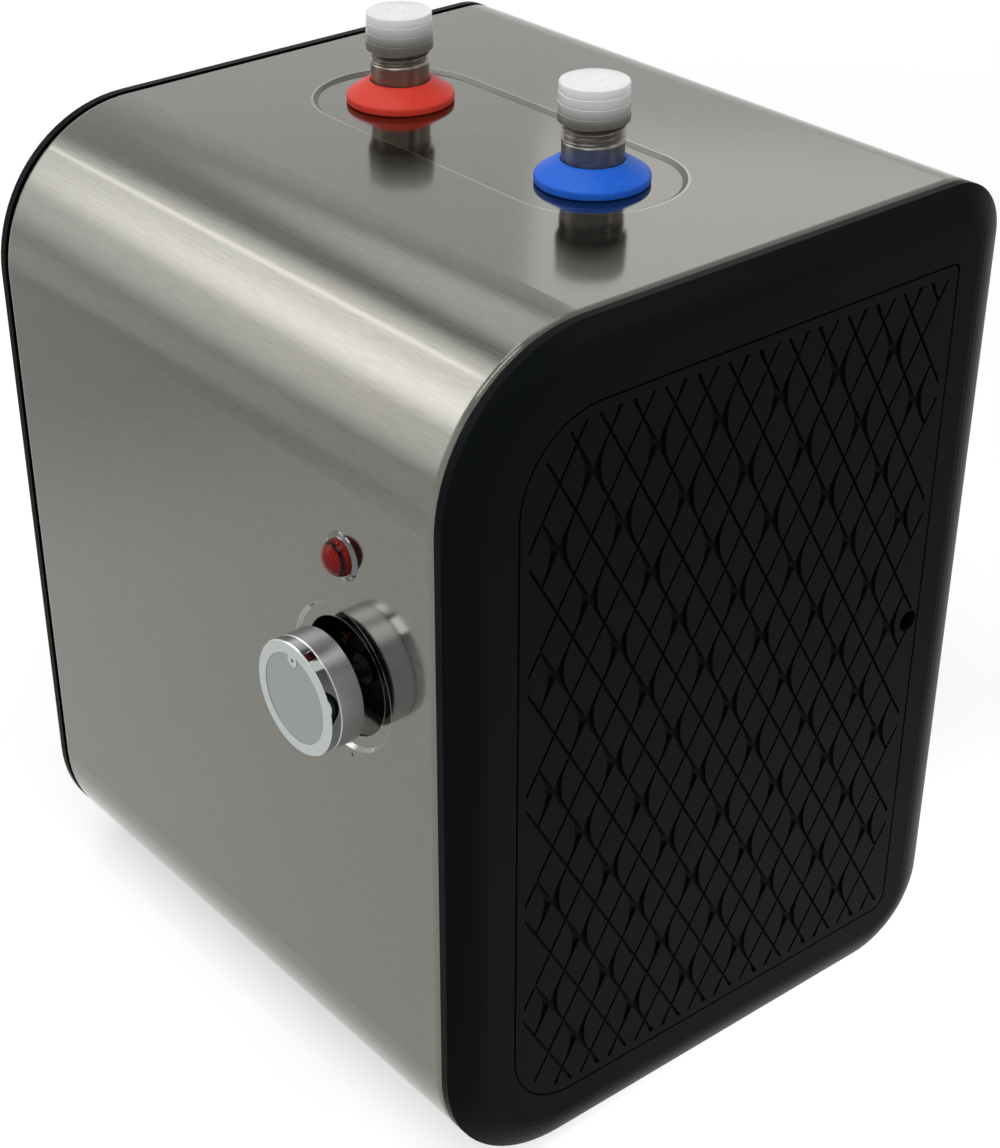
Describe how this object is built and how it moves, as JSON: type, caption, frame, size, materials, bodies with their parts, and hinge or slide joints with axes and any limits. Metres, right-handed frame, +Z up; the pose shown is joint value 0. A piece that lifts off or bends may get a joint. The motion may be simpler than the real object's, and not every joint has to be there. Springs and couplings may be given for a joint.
{
  "type": "electric storage water heater",
  "caption": "Compact upright storage water heater: brushed steel sleeve between black lattice end covers, capped threaded connections on top, thermostat knob and lamp on the front.",
  "frame": {"origin": "on the base, under the middle of the sleeve's length and depth", "axes": "+Z up, -Y towards the front with the knob and lamp, +X towards the right end cover"},
  "size_m": [0.2588, 0.2506, 0.34],
  "materials": {
    "brushed_steel": "brushed along the length",
    "black_plastic": "satin moulded",
    "zinc_steel": "zinc plated",
    "red_plastic": "matte",
    "blue_plastic": "matte",
    "pipe_steel": "plain",
    "cap_plastic": "translucent",
    "satin_silver": "satin",
    "chrome": "bright",
    "shaft_steel": "turned",
    "brass": "turned",
    "copper": "copper",
    "dark_steel": "black",
    "case_plastic": "phenolic",
    "red_lens": "clear red",
    "ivory_plastic": "moulded",
    "tank_steel": "drawn",
    "foam": "expanded foam",
    "rod_alloy": "drawn",
    "gasket": "fibre",
    "rubber": "soft",
    "brown_plastic": "phenolic"
  },
  "bodies": {
    "heater": {"sleeve": "brushed_steel", "right_end_cover": "black_plastic", "left_end_cover": "black_plastic", "cover_screws": "zinc_steel", "hanger_rail": "zinc_steel", "hot_collar": "red_plastic", "cold_collar": "blue_plastic", "hot_nipple": "pipe_steel", "cold_nipple": "pipe_steel", "thermostat_bush": "brass", "thermostat_case": "case_plastic", "thermostat_bracket": "dark_steel", "thermostat_screws": "brass", "capillary": "copper", "lamp_bezel": "chrome", "lamp_lens": "red_lens", "lamp_holder": "ivory_plastic", "lamp_nut": "zinc_steel", "tank_shell": "tank_steel", "tank_top": "tank_steel", "tank_bottom": "tank_steel", "dip_tube": "ivory_plastic", "foam_front": "foam", "foam_rear": "foam", "element_socket": "tank_steel", "element_gasket": "gasket", "element_plug": "brass", "heating_rod": "rod_alloy", "sensor_pocket": "copper", "wiring_bracket": "zinc_steel", "thermal_cutout": "brown_plastic", "terminal_block": "ivory_plastic", "terminal_screws": "brass", "earth_stud": "brass", "cord_grommet": "rubber"},
    "knob": {"knob_body": "satin_silver", "knob_ring": "chrome", "knob_disc": "chrome", "thermostat_shaft": "shaft_steel"},
    "hot_cap": {"hot_cap": "cap_plastic"},
    "cold_cap": {"cold_cap": "cap_plastic"},
    "reset_button": {"reset_button": "black_plastic"}
  },
  "joints": [
    {"name": "knob_turn", "type": "hinge", "parent": "heater", "child": "knob", "pos_m": [0.0739, -0.11465, 0.1845], "axis": [0, -1, 0], "range_deg": [-135, 135]},
    {"name": "hot_cap_lift", "type": "slide", "parent": "heater", "child": "hot_cap", "axis": [0, 0, 1], "range_m": [0, 0.03]},
    {"name": "cold_cap_lift", "type": "slide", "parent": "heater", "child": "cold_cap", "axis": [0, 0, 1], "range_m": [0, 0.03]},
    {"name": "reset_press", "type": "slide", "parent": "heater", "child": "reset_button", "axis": [-1, 0, 0], "range_m": [0, 0.0025], "stiffness_N_per_m": 600}
  ]
}
